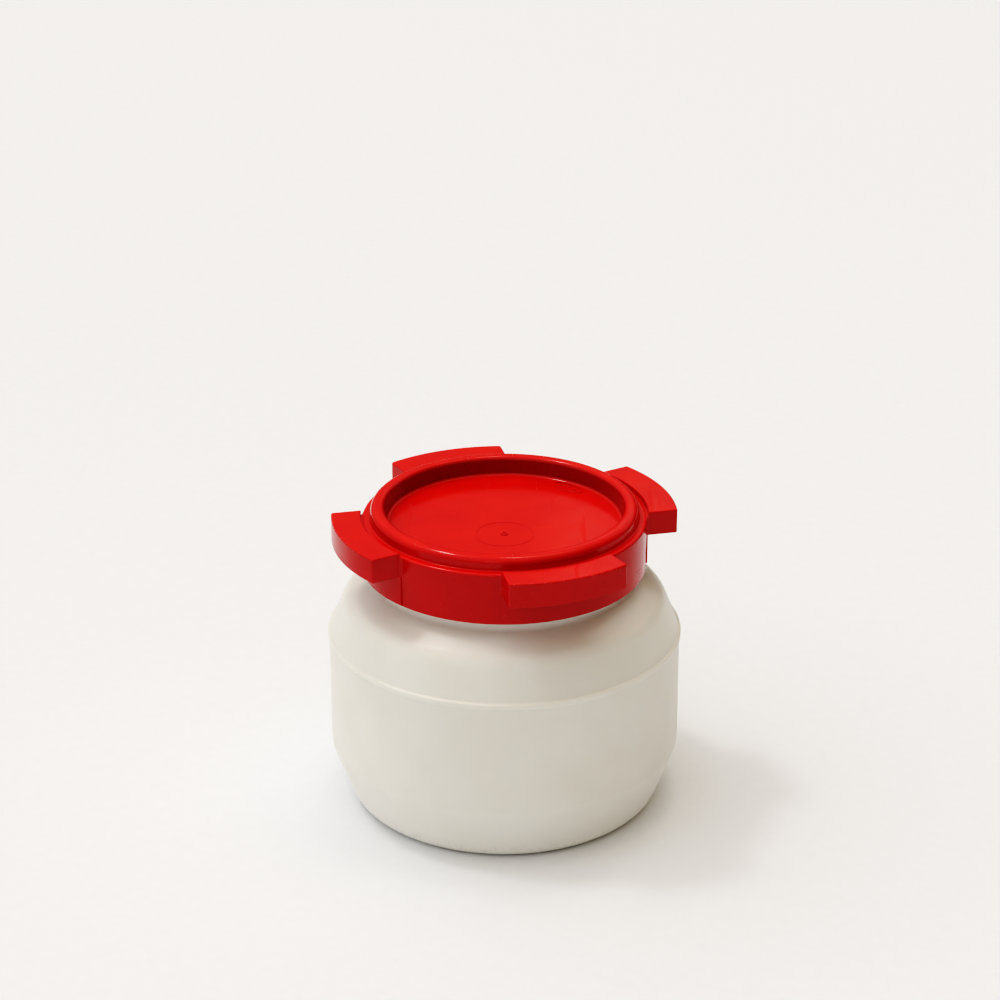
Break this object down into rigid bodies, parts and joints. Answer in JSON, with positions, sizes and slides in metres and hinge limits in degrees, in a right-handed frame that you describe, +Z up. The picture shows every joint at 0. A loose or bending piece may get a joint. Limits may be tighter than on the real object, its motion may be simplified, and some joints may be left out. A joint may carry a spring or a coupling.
{
  "type": "paint jar",
  "caption": "Wide-neck plastic storage jar with a tapered foot, upright barrel, conical shoulder and a sunk-panel screw lid that has four curved grip lugs.",
  "frame": {"origin": "centre of the jar's foot, on the surface it stands on", "axes": "+Z up along the jar's axis; +X to the right and +Y away in the main view; the lid's first grip lug starts just past +X"},
  "size_m": [0.198, 0.198, 0.176],
  "materials": {
    "jar_plastic": "satin, slightly translucent off-white polyethylene",
    "lid_plastic": "glossy red moulded plastic",
    "gasket_rubber": "matt black"
  },
  "bodies": {
    "jar": {"jar_body": "jar_plastic"},
    "seal": {"gasket": "gasket_rubber"},
    "lid": {"screw_lid": "lid_plastic"}
  },
  "joints": [
    {"name": "lid_lift", "type": "slide", "parent": "jar", "child": "seal", "axis": [0, 0, 1], "range_m": [0, 0.05]},
    {"name": "lid_turn", "type": "hinge", "parent": "seal", "child": "lid", "pos_m": [0, 0, 0.163], "axis": [0, 0, 1], "range_deg": [0, 1800]}
  ],
  "couplings": [
    {"joint": "lid_lift", "follows": "lid_turn", "m_per_rad": 0.0015915}
  ]
}
